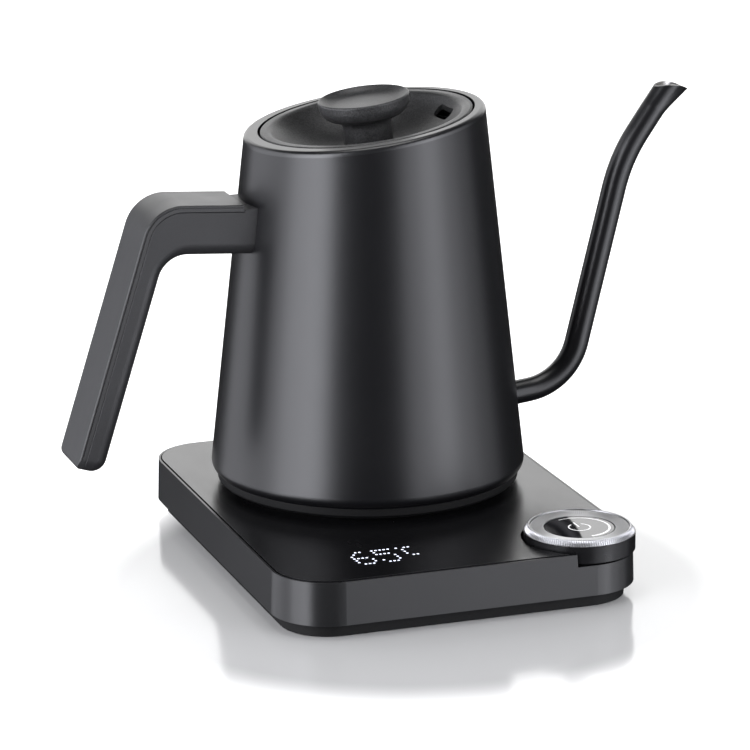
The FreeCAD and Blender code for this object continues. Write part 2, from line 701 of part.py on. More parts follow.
def base_collar():
    """Black underside of the kettle: spigot in the shell, floor, and the rib it stands on."""
    opening = SOCKET_RADIUS + SOCKET_WALL + 0.2
    spigot = SHELL_FOOT_RADIUS - SHELL - 0.2
    floor_top = COLLAR_BOTTOM + 2.0
    body = turned(outline((opening, COLLAR_BOTTOM), (51.5, COLLAR_BOTTOM), (51.5, PLATE_TOP + 0.05),
                          (54.5, PLATE_TOP + 0.05), (54.5, COLLAR_BOTTOM), (COLLAR_RADIUS - 1, COLLAR_BOTTOM),
                          (COLLAR_RADIUS, COLLAR_BOTTOM + 1), (COLLAR_RADIUS, SHELL_FOOT - 0.1),
                          (spigot, SHELL_FOOT - 0.1), (spigot, 33.0), (spigot - 1.8, 33.0),
                          (spigot - 1.8, floor_top), (opening, floor_top)))
    bosses = [cylinder(4.0, floor_top - 0.5, SPREADER_LOW - 0.1, x, y) for x, y in COLLAR_SCREWS]
    holes = [cylinder(2.8, 20, COLLAR_BOTTOM + 1.4, x, y) for x, y in COLLAR_SCREWS]
    holes += [cylinder(1.6, 20, 40, x, y) for x, y in COLLAR_SCREWS]
    return join(body, *bosses).cut(holes)


def collar_screws():
    return Part.makeCompound([screw(x, y, COLLAR_BOTTOM - 0.4, 37.2) for x, y in COLLAR_SCREWS])


# ---- handle -------------------------------------------------------------------------------
ARM_ROOT = (-54.0, 143.1)        # on the arm's upper line, beside the body
UNDER_ROOT = (-59.3, 123.2)      # on the arm's lower line
GRIP_OUTER = (-106.8, 98.6)      # on the grip's outer line
GRIP_END = 39.1                  # height where the grip's inner line meets its square end
OUTER_BEND = 16.0
INNER_BEND = 11.5
FOOT_ROUND = 6.0                 # inner corner of the foot, in side view
EDGE_ROUND = 5.0                 # long inner edges, and the foot's corners seen square to the grip
SEAM_CHAMFER = 0.35
COVER_GROOVE = (0.75, 1.15)      # depths below the outer face
COVER_START = -54.8
TONGUE = ((-74.0, -50.0), (-7.0, 7.0), (129.0, 137.0))
HANDLE_SCREWS = (-61.0, -69.0)


def arm_line(point, x):
    """Height at x of a line that rises away from the body from the given point."""
    return point[1] + (point[0] - x) * math.tan(math.radians(ARM_RISE))


def grip_line(offset, height):
    """x at a height on the grip's outer face, moved in by offset square to the grip."""
    lean = math.radians(GRIP_LEAN)
    return GRIP_OUTER[0] - (GRIP_OUTER[1] - height) * math.tan(lean) + offset / math.cos(lean)


def crossing(point, drop, offset):
    """Where an arm line, lowered by drop, meets the grip line moved in by offset."""
    rise = math.tan(math.radians(ARM_RISE))
    lean = math.tan(math.radians(GRIP_LEAN))
    start = grip_line(offset, 0.0)
    height = (point[1] - drop + (point[0] - start) * rise) / (1 + rise * lean)
    return (start + height * lean, height)


def grip_foot(offset):
    """Corner on the square end of the grip, at a depth below its outer face."""
    lean = math.radians(GRIP_LEAN)
    low = GRIP_END + (HANDLE_THICK - offset) * math.sin(lean)
    return (grip_line(offset, low), low)


def outer_line(depth, start):
    """Line of the handle's side view at a depth below its outer face, from the foot to the arm."""
    drop = depth / math.cos(math.radians(ARM_RISE))
    return [grip_foot(depth), crossing(ARM_ROOT, drop, depth), (start, arm_line(ARM_ROOT, start) - drop)]


def handle_core():
    """Inner shell of the handle, from the body to the foot of the grip."""
    start = -45.0
    inner = [(start, arm_line(UNDER_ROOT, start)), crossing(UNDER_ROOT, 0.0, HANDLE_THICK),
             grip_foot(HANDLE_THICK)]
    seam = outer_line(COVER_THICK, start)
    bend = OUTER_BEND - COVER_THICK
    slab = side_profile(inner + seam, [0, INNER_BEND, FOOT_ROUND, 0, bend, 0], HANDLE_HALF_WIDTH)
    slab = slab.makeFillet(EDGE_ROUND, edges_along(slab, inner + seam[:1], [0, INNER_BEND, FOOT_ROUND, 0]))
    slab = slab.makeChamfer(SEAM_CHAMFER, edges_along(slab, seam, [0, bend, 0]))
    root = block((COVER_START + 0.3, start), (-HANDLE_HALF_WIDTH, HANDLE_HALF_WIDTH), (138.0, 141.4))
    slab = join(slab, root)
    pocket = block(*[(low - 0.3, high + 0.3) for low, high in TONGUE])
    pad_room = body_solid(1.8).common(block((-70, 0), (-9.3, 9.3), (124.6, 140.3)))
    holes = [cylinder(2.2, 133, 150, x, 0) for x in HANDLE_SCREWS]
    holes += [cylinder(3.8, 138.6, 150, x, 0) for x in HANDLE_SCREWS]
    return slab.cut([body_solid(0.02), pocket, pad_room] + holes)


def rounded_foot(solid):
    """Round the two corners of the grip's square end, seen square to the grip."""
    middle = HANDLE_HALF_WIDTH - EDGE_ROUND
    waste = block((-5, 5), (middle, middle + EDGE_ROUND + 1), (-1, EDGE_ROUND))
    waste = waste.cut(Part.makeCylinder(EDGE_ROUND, 12, vec(-6, middle, EDGE_ROUND), vec(1, 0, 0)))
    corners = [waste, waste.mirror(vec(0, 0, 0), vec(0, 1, 0))]
    for corner in corners:
        corner.rotate(vec(0, 0, 0), vec(0, 1, 0), GRIP_LEAN)
        corner.translate(upright(grip_foot(0.0)))
    return solid.cut(corners)


def cover_band(top, bottom, toe, half_width):
    """Band of the handle between two depths below its outer face, with a rounded toe."""
    corners = outer_line(bottom, COVER_START) + outer_line(top, COVER_START)[::-1]
    return side_profile(corners, [0, OUTER_BEND - bottom, 0, 0, OUTER_BEND - top, toe], half_width)


def handle_cover():
    """Outer band of the handle, laid over the core, with a fine groove along each side."""
    toe = 2.2
    band = cover_band(0.0, COVER_THICK - 0.05, toe, HANDLE_HALF_WIDTH)
    outer = [grip_foot(toe)] + outer_line(0.0, COVER_START)
    band = band.makeFillet(0.6, edges_along(band, outer, [0, toe, OUTER_BEND, 0]))
    groove = cover_band(*COVER_GROOVE, 0, HANDLE_HALF_WIDTH + 1)
    middle = HANDLE_HALF_WIDTH - 0.35
    groove = groove.cut(block((-140, 0), (-middle, middle), (0, 160)))
    return rounded_foot(band.cut(groove))


def handle_bracket():
    """Pad welded to the shell, with a tongue that the handle screws to."""
    pad = body_solid(1.5).cut(body_solid(0.05)).common(block((-70, 0), (-9, 9), (125, 140)))
    tongue = block(*TONGUE).cut(body_solid(0.5))
    holes = [cylinder(1.95, 128, 138, x, 0) for x in HANDLE_SCREWS]
    return join(pad, tongue).cut(holes)


def handle_screws():
    """Driven down under the cover into the tongue."""
    screws = []
    for x in HANDLE_SCREWS:
        part = screw(x, 0, 0.0, 9.8, 3.4, 1.9, 1.6)
        part.rotate(vec(x, 0, 0), vec(1, 0, 0), 180)
        part.translate(vec(0, 0, 138.6 + 1.6))
        screws.append(part)
    return Part.makeCompound(screws)


# ---- lid, drawn in its own frame ----------------------------------------------------------
DISH_UNDER = -DISH_DEPTH - 2.0
VENT_RADIUS = 33.2
VENT_TURN = 4.0                  # degrees, how far the vent stands off the spout's direction


def lid_dish():
    """Deep dished top with an outer skirt and a vent slot towards the spout."""
    dish = turned(outline((2.1, -DISH_DEPTH), (12.5, -DISH_DEPTH), ((27.0, -9.4), (37.6, -1.0)),
                          ((38.6, -0.25), (39.8, 0.0)), (LID_RADIUS - 0.9, 0.0),
                          ((LID_RADIUS - 0.25, -0.25), (LID_RADIUS, -0.9)), (LID_RADIUS, -10.0),
                          (40.6, -10.0), (40.6, -3.2), (37.6, -3.2),
                          ((26.2, -11.6), (12.0, DISH_UNDER)), (2.1, DISH_UNDER)))
    slot = block((VENT_RADIUS - 2.2, VENT_RADIUS + 2.2), (-6.4, 6.4), (-14, 4))
    uprights = [edge for edge in slot.Edges if edge.BoundBox.ZLength > 17]
    slot = slot.makeFillet(1.9, uprights)
    slot.rotate(vec(0, 0, 0), vec(0, 0, 1), VENT_TURN)
    return on_rim(dish.cut(slot))


def lid_knob():
    """Dished cup on a stem."""
    rim_round = 0.7
    body = turned(outline((0, 6.4), (11.0, 6.4), ((14.6, 6.9), (KNOB_RADIUS - rim_round, KNOB_HEIGHT)),
                          ((KNOB_RADIUS - 0.1, KNOB_HEIGHT - 0.3), (KNOB_RADIUS, KNOB_HEIGHT - 1.0)),
                          (KNOB_RADIUS - 0.2, 5.6), ((16.0, 2.1), (12.2, 0.6)),
                          ((10.5, -0.4), (STEM_RADIUS, -2.6)), (STEM_RADIUS, -DISH_DEPTH), (0, -DISH_DEPTH)))
    return on_rim(body.cut(cylinder(1.6, -20, -2)))


def lid_underside():
    """Lower cover of the lid, with a steam hole below the vent."""
    cup = turned(outline((1.8, -17.5), (39.3, -17.5), (40.3, -16.5), (40.3, -10.3), (38.9, -10.3),
                         (38.9, -16.1), (1.8, -16.1)))
    return on_rim(cup.cut(cylinder(3.0, -20, -10, VENT_RADIUS, 0)))


def lid_seal():
    """Silicone ring below the skirt, resting on the rim's ledge."""
    return on_rim(turned(outline((40.4, -13.2), (42.4, -13.2), (42.9, -12.7), (42.9, -10.6),
                                 (42.4, -10.1), (40.4, -10.1))))


def lid_screw():
    return on_rim(screw(0, 0, -19.3, -3.0))


# ---- all pieces ---------------------------------------------------------------------------
PIECES = [
    base_housing, top_plate, bottom_pan, rubber_feet, pan_screws, control_board, control_screws,
    display_module, power_board, power_board_screws, power_relay, power_supply, terminal_block,
    cord_gland, cord_clamp, clamp_screws, connector_wires, base_connector, base_contacts,
    locating_ring, dial_ring, dial_skirt, encoder_disc, encoder_board, dial_post, button_glass,
    button_stem, button_spring, button_switch, body_shell, rim_ring, spout_tube, vessel_floor,
    heat_spreader, heating_element, temperature_probe, probe_nut, kettle_connector,
    connector_screws, kettle_contacts, base_collar, collar_screws, handle_core, handle_cover,
    handle_bracket, handle_screws, lid_dish, lid_knob, lid_underside, lid_seal, lid_screw,
]


def main():
    os.makedirs("parts", exist_ok=True)
    for piece in PIECES:
        place(piece()).exportStep("parts/" + piece.__name__ + ".step")


main()
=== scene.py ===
import json
import math

import bmesh
import bpy
from mathutils import Matrix, Vector


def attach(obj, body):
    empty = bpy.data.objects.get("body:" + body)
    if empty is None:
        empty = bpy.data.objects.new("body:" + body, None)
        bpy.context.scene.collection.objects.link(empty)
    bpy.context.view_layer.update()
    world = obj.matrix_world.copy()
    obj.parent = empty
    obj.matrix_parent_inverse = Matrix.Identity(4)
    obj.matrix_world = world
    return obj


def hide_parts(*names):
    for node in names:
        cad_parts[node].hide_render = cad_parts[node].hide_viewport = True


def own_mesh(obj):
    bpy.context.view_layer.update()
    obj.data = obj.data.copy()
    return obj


# Looks of the electric gooseneck kettle.  Lengths are metres in the part's own frame unless a
# name ends in _MM.  The frame's CAD meshes are shown as they are, with a material for each slot;
# the knurled dial ring, the button's spring and printed marks, and the lit dots are made here.

MM = 0.001

# Places that repeat the CAD source.
AXIS = Vector((-0.007, 0.02365, 0.0))             # upright axis of the kettle
DIAL = AXIS + Vector((0.0515, -0.0997, 0.0))      # axis of the dial
GLASS_TOP = 0.0263
PLATE_TOP = 0.0228

# The photograph's viewpoint.
CAMERA_PLACE = AXIS + Vector((-0.47887, -1.37876, 0.47517))
CAMERA_TARGET = AXIS + Vector((0.00328, 0.0, 0.06553))
CAMERA_ROLL = math.radians(-0.26)
CAMERA_LENS = 181.14


# ---- node helpers -------------------------------------------------------------------------
class Finish:
    """A material under construction: its node tree and its shader."""

    def __init__(self, name, colour, roughness, metallic=0.0, specular=0.5):
        self.name = name
        self.material = bpy.data.materials.new(name)
        self.material.use_nodes = True
        self.tree = self.material.node_tree
        self.shader = self.tree.nodes["Principled BSDF"]
        self.set("Base Color", (*colour, 1.0))
        self.set("Roughness", roughness)
        self.set("Metallic", metallic)
        self.set("Specular IOR Level", specular)
        self.colour = colour
        self.roughness = roughness
        self.place = self.node("ShaderNodeTexCoord").outputs["Object"]

    def set(self, socket, value):
        """Fixed value on one of the shader's own sockets."""
        self.shader.inputs[socket].default_value = value

    def node(self, kind, **settings):
        """New node of a kind, with its settings."""
        made = self.tree.nodes.new(kind)
        for name, value in settings.items():
            setattr(made, name, value)
        return made

    def link(self, source, target):
        """Feed an output into an input."""
        self.tree.links.new(source, target)

    def combine(self, operation, first, second):
        """Arithmetic on two sockets or numbers, or a comparison of them."""
        made = self.node("ShaderNodeMath", operation=operation)
        for socket, value in zip(made.inputs, (first, second)):
            if isinstance(value, (int, float)):
                socket.default_value = value
            else:
                self.link(value, socket)
        return made.outputs[0]

    def stretched(self, scale, centre=(0, 0, 0)):
        """Object coordinates about a centre, scaled along each axis."""
        offset = [-middle * factor for middle, factor in zip(centre, scale)]
        made = self.node("ShaderNodeMapping")
        made.inputs["Scale"].default_value = scale
        made.inputs["Location"].default_value = offset
        self.link(self.place, made.inputs["Vector"])
        return made.outputs[0]

    def noise(self, size, detail=2.0, place=None):
        """Noise from 0 to 1 with features of the given size in metres."""
        made = self.node("ShaderNodeTexNoise")
        made.inputs["Scale"].default_value = 1.0 / size
        made.inputs["Detail"].default_value = detail
        self.link(place or self.place, made.inputs["Vector"])
        return made.outputs["Fac"]

    def between(self, value, low, high):
        """A 0 to 1 value, with its middle half stretched over low to high."""
        made = self.node("ShaderNodeMapRange")
        made.inputs["From Min"].default_value = 0.25
        made.inputs["From Max"].default_value = 0.75
        made.inputs["To Min"].default_value = low
        made.inputs["To Max"].default_value = high
        self.link(value, made.inputs["Value"])
        return made.outputs[0]

    def tint(self, value, low, high):
        """Base colour that goes from the low to the high colour with value."""
        mix = self.node("ShaderNodeMix", data_type="RGBA")
        mix.inputs["A"].default_value = (*low, 1.0)
        mix.inputs["B"].default_value = (*high, 1.0)
        self.link(self.between(value, 0.0, 1.0), mix.inputs["Factor"])
        self.link(mix.outputs["Result"], self.shader.inputs["Base Color"])

    def mottle(self, value, spread):
        """Darker base colour where value is low and lighter where it is high."""
        darker = [part * (1 - spread) for part in self.colour]
        lighter = [part * (1 + spread) for part in self.colour]
        self.tint(value, darker, lighter)

    def sheen(self, value, spread):
        """Glossier surface where value is low and duller where it is high."""
        made = self.between(value, self.roughness - spread, self.roughness + spread)
        self.link(made, self.shader.inputs["Roughness"])

    def bump(self, height, depth, edge=0.0):
        """Relief of the given depth in metres, over edges softened to the given radius."""
        made = self.node("ShaderNodeBump")
        made.inputs["Strength"].default_value = 1.0
        made.inputs["Distance"].default_value = depth
        self.link(height, made.inputs["Height"])
        if edge:
            softened = self.node("ShaderNodeBevel", samples=6)
            softened.inputs["Radius"].default_value = edge
            self.link(softened.outputs["Normal"], made.inputs["Normal"])
        self.link(made.outputs["Normal"], self.shader.inputs["Normal"])


# ---- materials ----------------------------------------------------------------------------
BLACK_PAINT = (0.002, 0.002, 0.0026)
STEEL = (0.60, 0.59, 0.58)
STRAW = (0.42, 0.33, 0.2)
HEAT_BLUE = (0.25, 0.26, 0.33)
WEAVE_SCALE = 700.0     # rows of the circuit board's weave 0.36 mm high
# A face counts as looking inwards when its distance from the mid-plane times the inward share
# of its normal is more than this.
FLAT_LIMIT = 0.002 * MM


def powder_coat(name, colour, roughness, peel, specular=0.5, edge=0.0):
    """Satin baked paint: a faint orange-peel relief under a fine speckle."""
    finish = Finish(name, colour, roughness, specular=specular)
    speckle = finish.noise(0.35 * MM, detail=1.0)
    ripple = finish.noise(1.6 * MM, detail=1.0)
    finish.mottle(speckle, spread=0.12)
    finish.sheen(finish.noise(18 * MM, detail=3.0), spread=0.008)
    relief = finish.combine("ADD", ripple, finish.combine("MULTIPLY", speckle, 0.35))
    finish.bump(relief, peel, edge)
    return finish


def bare_inside(finish, steel):
    """Leave bare steel on the faces that look in towards the kettle's mid-plane."""
    coords = finish.node("ShaderNodeTexCoord")
    sideways = []
    for source in (finish.place, coords.outputs["Normal"]):
        split = finish.node("ShaderNodeSeparateXYZ")
        finish.link(source, split.inputs[0])
        sideways.append(split.outputs["Y"])
    place, facing = sideways
    outward = finish.combine("MULTIPLY", finish.combine("SUBTRACT", place, AXIS.y), facing)
    inside = finish.combine("LESS_THAN", outward, -FLAT_LIMIT)
    mix = finish.node("ShaderNodeMix", data_type="RGBA")
    finish.link(finish.shader.inputs["Base Color"].links[0].from_socket, mix.inputs["A"])
    mix.inputs["B"].default_value = (*steel, 1.0)
    finish.link(inside, mix.inputs["Factor"])
    finish.link(mix.outputs["Result"], finish.shader.inputs["Base Color"])
    finish.link(inside, finish.shader.inputs["Metallic"])
    return finish


def top_plate_paint():
    """Smooth satin lacquer with faint wiping marks."""
    finish = Finish("plate_paint", (0.003, 0.003, 0.0034), 0.25, specular=0.42)
    wiped = finish.noise(9 * MM, detail=4.0, place=finish.stretched((1.0, 0.3, 1.0)))
    finish.mottle(finish.noise(0.3 * MM, detail=1.0), spread=0.15)
    finish.sheen(wiped, spread=0.03)
    finish.bump(finish.noise(0.9 * MM), depth=0.0012 * MM, edge=0.1 * MM)
    return finish


def moulded_plastic(name, colour, roughness, grain, depth, specular=0.5, painted_grain_shading=0.3):
    """Spark-eroded plastic: a pebbled grain, its colour lighter on the high spots and darker in
    the hollows by the given share, as painted glint and shade.
    """
    finish = Finish(name, colour, roughness, specular=specular)
    pebbles = finish.noise(grain)
    # Painted glint and shade: the colour follows the grain's height, lighter on its tops and
    # darker in its hollows.
    finish.mottle(pebbles, painted_grain_shading)
    finish.sheen(finish.noise(14 * MM), spread=0.03)
    finish.bump(pebbles, depth, edge=0.12 * MM)
    return finish


def gloss_plastic(name, colour, roughness, specular=0.5):
    """Polished moulding with a trace of dust and hairline wear."""
    finish = Finish(name, colour, roughness, specular=specular)
    finish.mottle(finish.noise(0.5 * MM), spread=0.2)
    finish.sheen(finish.noise(5 * MM, detail=5.0), spread=min(roughness * 0.4, 0.05))
    finish.bump(finish.noise(2.5 * MM, detail=1.0), depth=0.0008 * MM)
    return finish


def turned_metal(name, colour, roughness, centre, groove):
    """Metal turned on a lathe: fine rings about an upright axis."""
    finish = Finish(name, colour, roughness, metallic=1.0)
    across = finish.stretched((1.0, 1.0, 0.0), centre)
    radius = finish.node("ShaderNodeVectorMath", operation="LENGTH")
    finish.link(across, radius.inputs[0])
    rings = finish.noise(groove, detail=3.0, place=radius.outputs["Value"])
    finish.mottle(rings, spread=0.05)
    finish.sheen(rings, spread=0.05)
    finish.bump(rings, depth=0.004 * MM)
    return finish


def rolled_metal(name, colour, roughness, scale):
    """Sheet or wire with drawing lines along the axis that has the smallest scale."""
    finish = Finish(name, colour, roughness, metallic=1.0)
    lines = finish.noise(0.25 * MM, detail=3.0, place=finish.stretched(scale))
    worn = finish.combine("ADD", lines, finish.noise(8 * MM))
    finish.mottle(lines, spread=0.06)
    finish.sheen(finish.combine("MULTIPLY", worn, 0.5), spread=0.08)
    finish.bump(lines, depth=0.003 * MM)
    return finish


def element_sheath():
    """Sheath tinted from straw to blue by heat."""
    finish = Finish("element_sheath", STRAW, 0.42, metallic=1.0)
    finish.tint(finish.noise(12 * MM, detail=3.0), STRAW, HEAT_BLUE)
    finish.sheen(finish.noise(3 * MM, detail=3.0), spread=0.08)
    finish.bump(finish.noise(0.4 * MM), depth=0.003 * MM)
    return finish


def circuit_board():
    """Green solder mask with a faint woven glass relief."""
    finish = Finish("circuit_board", (0.012, 0.075, 0.03), 0.38)
    weave = finish.node("ShaderNodeTexBrick", offset=0.5)
    weave.inputs["Scale"].default_value = WEAVE_SCALE
    finish.link(finish.place, weave.inputs["Vector"])
    finish.mottle(finish.noise(2.0 * MM, detail=3.0), spread=0.25)
    finish.sheen(finish.noise(6 * MM), spread=0.05)
    finish.bump(weave.outputs["Fac"], depth=0.004 * MM)
    return finish


def rubber(name, colour):
    """Matt elastomer with a dusty bloom."""
    finish = Finish(name, colour, 0.72, specular=0.35)
    finish.mottle(finish.noise(3 * MM, detail=5.0), spread=0.25)
    finish.sheen(finish.noise(6 * MM, detail=3.0), spread=0.06)
    finish.bump(finish.noise(0.2 * MM), depth=0.006 * MM)
    return finish


def lit_dots():
    """Cold white light behind the plate's perforations, a little uneven from dot to dot."""
    finish = Finish("lit_dots", (0.8, 0.85, 1.0), 0.4)
    finish.set("Emission Color", (0.80, 0.84, 1.0, 1.0))
    glow = finish.noise(1.1 * MM, detail=1.0)
    finish.link(finish.between(glow, 0.8, 1.5), finish.shader.inputs["Emission Strength"])
    finish.sheen(glow, spread=0.05)
    return finish.material


def printed_white():
    """Thin screen print under the glass."""
    finish = Finish("printed_white", (0.8, 0.8, 0.8), 0.3)
    finish.mottle(finish.noise(0.3 * MM), spread=0.08)
    finish.sheen(finish.noise(1.5 * MM), spread=0.05)
    finish.bump(finish.noise(0.2 * MM), depth=0.0006 * MM)
    return finish.material


def make_materials():
    """One material for each of the record's slots, by the slot's name."""
    finishes = [
        powder_coat("base_paint", (0.007, 0.0071, 0.0076), 0.3, peel=0.0016 * MM, specular=0.4,
                    edge=0.15 * MM),
        powder_coat("rim_paint", BLACK_PAINT, 0.33, peel=0.0018 * MM, specular=0.75),
        bare_inside(powder_coat("kettle_paint", BLACK_PAINT, 0.33, peel=0.0018 * MM), STEEL),
        top_plate_paint(),
        moulded_plastic("black_plastic", (0.004, 0.004, 0.0042), 0.6, grain=0.4 * MM,
                        depth=0.006 * MM, specular=0.15),
        moulded_plastic("handle_plastic", (0.010, 0.010, 0.011), 0.45, grain=0.3 * MM,
                        depth=0.006 * MM),
        moulded_plastic("handle_cover_plastic", (0.014, 0.0142, 0.015), 0.4, grain=0.3 * MM,
                        depth=0.006 * MM),
        # The lid's grain carries strong painted glint and shade in its colour.
        moulded_plastic("lid_plastic", (0.018, 0.018, 0.0186), 0.42, grain=0.65 * MM,
                        depth=0.05 * MM, specular=0.46, painted_grain_shading=0.9),
        moulded_plastic("lid_lower_plastic", (0.015, 0.015, 0.016), 0.5, grain=0.4 * MM,
                        depth=0.005 * MM),
        moulded_plastic("nylon", (0.5, 0.5, 0.47), 0.45, grain=0.6 * MM, depth=0.003 * MM),
        gloss_plastic("dial_black", (0.004, 0.004, 0.0045), 0.3, specular=0.25),
        gloss_plastic("button_lens", (0.006, 0.006, 0.007), 0.04, specular=0.9),
        gloss_plastic("display_lens", (0.5, 0.55, 0.6), 0.25),
        gloss_plastic("component_case", (0.03, 0.045, 0.09), 0.35),
        gloss_plastic("wire_insulation", (0.14, 0.035, 0.02), 0.4),
        rubber("foot_rubber", (0.015, 0.015, 0.015)),
        rubber("silicone", (0.16, 0.16, 0.165)),
        turned_metal("dial_aluminium", (0.46, 0.46, 0.47), 0.34, DIAL, groove=0.12 * MM),
        turned_metal("spreader_aluminium", (0.7, 0.7, 0.71), 0.4, AXIS, groove=0.4 * MM),
        rolled_metal("contact_brass", (0.72, 0.50, 0.22), 0.25, scale=(1.0, 1.0, 0.1)),
        rolled_metal("screw_steel", (0.56, 0.56, 0.57), 0.3, scale=(1.0, 1.0, 0.3)),
        rolled_metal("vessel_steel", STEEL, 0.3, scale=(0.15, 1.0, 1.0)),
        element_sheath(),
        circuit_board(),
    ]
    return {finish.name: finish.material for finish in finishes}


def dress_cad(frame, materials):
    """Give each CAD node the material of its slot."""
    slots = {row["node"]: row["material_slot"] for row in frame["record"]["subparts"]}
    for name, node in frame["nodes"].items():
        node.data.materials.clear()
        node.data.materials.append(materials[slots[name]])


# ---- pieces made here ---------------------------------------------------------------------
def make_piece(name, verts, faces, material, body, smooth=True):
    """New piece with its faces turned outwards, riding on a body."""
    mesh = bpy.data.meshes.new(name)
    mesh.from_pydata(verts, [], faces)
    mesh.validate()
    shape = bmesh.new()
    shape.from_mesh(mesh)
    bmesh.ops.recalc_face_normals(shape, faces=shape.faces)
    shape.to_mesh(mesh)
    shape.free()
    mesh.materials.append(material)
    if smooth:
        mesh.shade_smooth()
    else:
        mesh.shade_flat()
    piece = bpy.data.objects.new(name, mesh)
    bpy.context.scene.collection.objects.link(piece)
    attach(piece, body)
    return piece


def polar(radius, angle):
    """Point at a radius and an angle in radians."""
    return (radius * math.cos(angle), radius * math.sin(angle))


def band(low, high, count):
    """Faces between two closed rows of points, given the number of each row's first point."""
    faces = []
    for i in range(count):
        j = (i + 1) % count
        faces.append((low + i, low + j, high + j, high + i))
    return faces


# Cross-section of the dial ring: radius, height and depth of its radial grooves, in millimetres.
RING_SECTION_MM = [
    (13.9, 23.2, 0.0), (13.9, 26.38, 0.0), (14.0, 26.46, 0.0), (14.3, 26.5, 0.06),
    (16.0, 26.7, 0.10), (18.6, 27.05, 0.12), (18.8, 27.1, 0.0), (18.95, 26.5, 0.0),
    (19.2, 26.5, 0.0), (19.35, 27.3, 0.0), (19.75, 27.42, 0.0), (19.95, 27.39, 0.0),
    (20.1, 27.2, 0.20), (20.6, 26.36, 0.40), (21.1, 25.52, 0.40), (21.25, 25.27, 0.10),
    (21.3, 25.2, 0.0), (15.6, 25.2, 0.0), (15.6, 23.2, 0.0),
]
RING_GROOVES = 140
STEPS_PER_GROOVE = 6
GROOVE_SLOPE = 0.5      # how far a groove goes inwards for its depth


def knurled_dial_ring(material):
    """Metal ring of the dial with radial grooves over its bevel and its dished face."""
    count = RING_GROOVES * STEPS_PER_GROOVE
    verts = []
    for i in range(count):
        turn = 2 * math.pi * i / count
        wave = (0.5 - 0.5 * math.cos(2 * math.pi * i / STEPS_PER_GROOVE)) ** 2
        for radius, height, depth in RING_SECTION_MM:
            cut = depth * wave
            x, y = polar((radius - cut * GROOVE_SLOPE) * MM, turn)
            verts.append((DIAL.x + x, DIAL.y + y, (height - cut) * MM))
    size = len(RING_SECTION_MM)
    faces = []
    for i in range(count):
        ahead = (i + 1) % count
        faces += band(i * size, ahead * size, size)
    ring = make_piece("knurled_dial_ring", verts, faces, material, "dial", smooth=False)
    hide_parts("dial_ring")


SPRING_LOW = 10.9 * MM
SPRING_HIGH = 17.1 * MM
SPRING_TURNS = 4.5
SPRING_RADIUS = 3.85 * MM
SPRING_WIRE = 0.35 * MM         # radius of the wire


def coil_spring(material):
    """Spring under the button, built at its full length; nothing here shortens it as the button
    goes down.
    """
    sides = 10
    steps_per_turn = 28
    count = int(SPRING_TURNS * steps_per_turn)
    climb = SPRING_HIGH - SPRING_LOW - 2 * SPRING_WIRE
    verts = []
    for i in range(count + 1):
        share = i / count
        middle = SPRING_LOW + SPRING_WIRE + climb * share
        for k in range(sides):
            out, up = polar(SPRING_WIRE, 2 * math.pi * k / sides)
            x, y = polar(SPRING_RADIUS + out, 2 * math.pi * SPRING_TURNS * share)
            verts.append((DIAL.x + x, DIAL.y + y, middle + up))
    faces = [list(range(sides)), [count * sides + k for k in range(sides)]]
    for i in range(count):
        faces += band(i * sides, (i + 1) * sides, sides)
    spring = make_piece("coil_spring", verts, faces, material, "base")
    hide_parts("button_spring")
    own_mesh(spring)


PRINT_THICK = 0.02 * MM
PRINT_LOW = GLASS_TOP - PRINT_THICK / 4


def printed_stroke(name, points, widths, material):
    """Flat print on the button along a line of points, with a width at each point."""
    verts = []
    last = len(points) - 1
    for i, point in enumerate(points):
        along = (points[min(i + 1, last)] - points[max(i - 1, 0)]).normalized()
        side = Vector((-along.y, along.x)) * (widths[i] / 2)
        for edge in (point + side, point - side):
            verts.append((edge.x, edge.y, PRINT_LOW))
            verts.append((edge.x, edge.y, PRINT_LOW + PRINT_THICK))
    faces = []
    for i in range(last):
        a = 4 * i
        b = a + 4
        faces += [(a + 1, b + 1, b + 3, a + 3), (a, a + 2, b + 2, b), (a, b, b + 1, a + 1),
                  (a + 2, a + 3, b + 3, b + 2)]
    faces += [(0, 1, 3, 2), (4 * last, 4 * last + 2, 4 * last + 3, 4 * last + 1)]
    make_piece(name, verts, faces, material, "power_button", smooth=False)


def arc_points(radius, start, end, count):
    """Points on a circle about the dial, from one bearing to another in degrees."""
    points = []
    for i in range(count):
        turn = math.radians(start + (end - start) * i / (count - 1))
        x, y = polar(radius, turn)
        points.append(Vector((DIAL.x + x, DIAL.y + y)))
    return points


def button_marks(material):
    """Power symbol and a swelling arc printed on the button's glass."""
    line = 0.55 * MM
    circle = arc_points(4.2 * MM, start=118, end=422, count=49)
    printed_stroke("power_circle", circle, [line] * len(circle), material)
    bar = [Vector((DIAL.x, DIAL.y + y * MM)) for y in (0.4, 3.2, 6.1)]
    printed_stroke("power_bar", bar, [line] * len(bar), material)
    arc = arc_points(11.6 * MM, start=112, end=-88, count=65)
    thin = 0.25 * MM
    swell = 0.85 * MM
    widths = [thin + swell * i / (len(arc) - 1) for i in range(len(arc))]
    printed_stroke("level_arc", arc, widths, material)


# Lit dots of the read-out, one string per row; the last block is the small degree sign and unit.
SIX = ["..##.", ".#...", "#....", "####.", "#...#", "#...#", ".###."]
FIVE = ["#####", "#....", "####.", "....#", "....#", "#...#", ".###."]
UNIT = ["#.##", ".#..", ".#..", ".#..", "..##"]
# Each block's piece, pattern, and first column measured from the kettle's axis.
BLOCKS = [("dots_tens", SIX, -39.7 * MM), ("dots_units", FIVE, -29.9 * MM),
          ("dots_degree", UNIT, -20.1 * MM)]
FIRST_ROW = AXIS.y - 0.0898
DOT_ROW = 2.32 * MM
DOT_COLUMN = 1.65 * MM
DOT_SLANT = 0.08
# Radius of a dot and its height over the plate, from its lower edge to its top.
DOT_RINGS = [(0.52 * MM, -0.01 * MM), (0.52 * MM, 0.02 * MM), (0.36 * MM, 0.05 * MM)]
DOT_SIDES = 12


